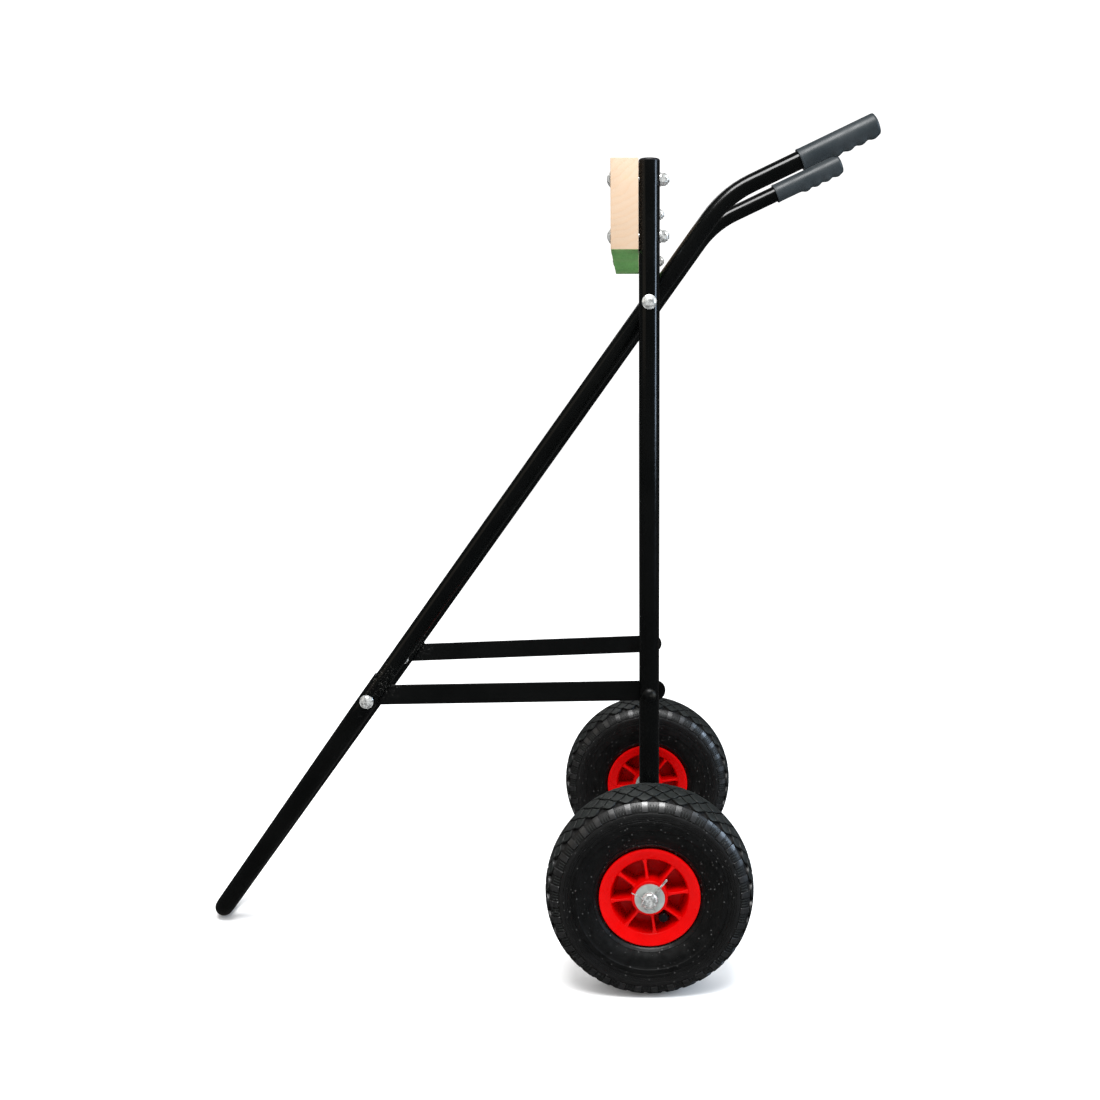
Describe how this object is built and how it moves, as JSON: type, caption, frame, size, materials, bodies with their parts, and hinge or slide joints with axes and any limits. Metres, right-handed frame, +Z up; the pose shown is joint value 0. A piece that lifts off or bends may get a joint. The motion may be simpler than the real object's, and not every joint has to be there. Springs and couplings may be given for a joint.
{
  "type": "outboard motor trolley",
  "caption": "Two-wheeled outboard motor transport trolley: wooden clamp board on two uprights, sloping handle tubes, V-shaped leg and pneumatic wheels.",
  "frame": {"origin": "on the floor, under the middle of the bounding box, in the trolley's mid-plane", "axes": "+X towards the handles, -X towards the foot, -Y is the left side seen from the handles, +Z up"},
  "size_m": [0.8988, 0.5514, 1.0745],
  "materials": {
    "frame_paint": "gloss black powder coat",
    "black_plastic": "moulded black plastic",
    "grip": "slate grey soft plastic, matte",
    "wood": "pale softwood, raw sawn faces and ends, green stain on the underside",
    "black_steel": "black bolt",
    "rim_plastic": "moulded red plastic, satin gloss",
    "tyre": "black tyre rubber",
    "inner_rubber": "black rubber",
    "bearing_steel": "greased bearing steel",
    "zinc": "bright zinc plate"
  },
  "bodies": {
    "frame": {"upright_left": "frame_paint", "upright_right": "frame_paint", "upright_plug_left": "black_plastic", "upright_plug_right": "black_plastic", "handle_tube_left": "frame_paint", "handle_tube_right": "frame_paint", "grip_left": "grip", "grip_right": "grip", "leg_tube": "frame_paint", "brace_left": "frame_paint", "brace_right": "frame_paint", "motor_board": "wood", "board_bolts": "zinc", "board_washers": "zinc", "board_nuts": "zinc", "pivot_bolts": "zinc", "pivot_washers": "zinc", "pivot_nuts": "zinc", "leg_bolts": "zinc", "leg_washers": "zinc", "leg_nuts": "zinc", "brace_bolts": "black_steel", "brace_washers": "zinc", "brace_nuts": "zinc", "axle": "zinc", "axle_tube": "frame_paint", "outer_washers": "zinc", "inner_washers": "zinc", "split_pins": "zinc"},
    "wheel_left": {"rim_left": "rim_plastic", "tyre_left": "tyre", "inner_tube_left": "inner_rubber", "hub_bearings_left": "bearing_steel", "valve_stem_left": "inner_rubber", "valve_cap_left": "black_plastic"},
    "wheel_right": {"rim_right": "rim_plastic", "tyre_right": "tyre", "inner_tube_right": "inner_rubber", "hub_bearings_right": "bearing_steel", "valve_stem_right": "inner_rubber", "valve_cap_right": "black_plastic"}
  },
  "joints": [
    {"name": "wheel_left_spin", "type": "hinge", "parent": "frame", "child": "wheel_left", "pos_m": [0.17003, -0.227, 0.13], "axis": [0, 1, 0], "continuous": true},
    {"name": "wheel_right_spin", "type": "hinge", "parent": "frame", "child": "wheel_right", "pos_m": [0.17003, 0.227, 0.13], "axis": [0, 1, 0], "continuous": true}
  ]
}
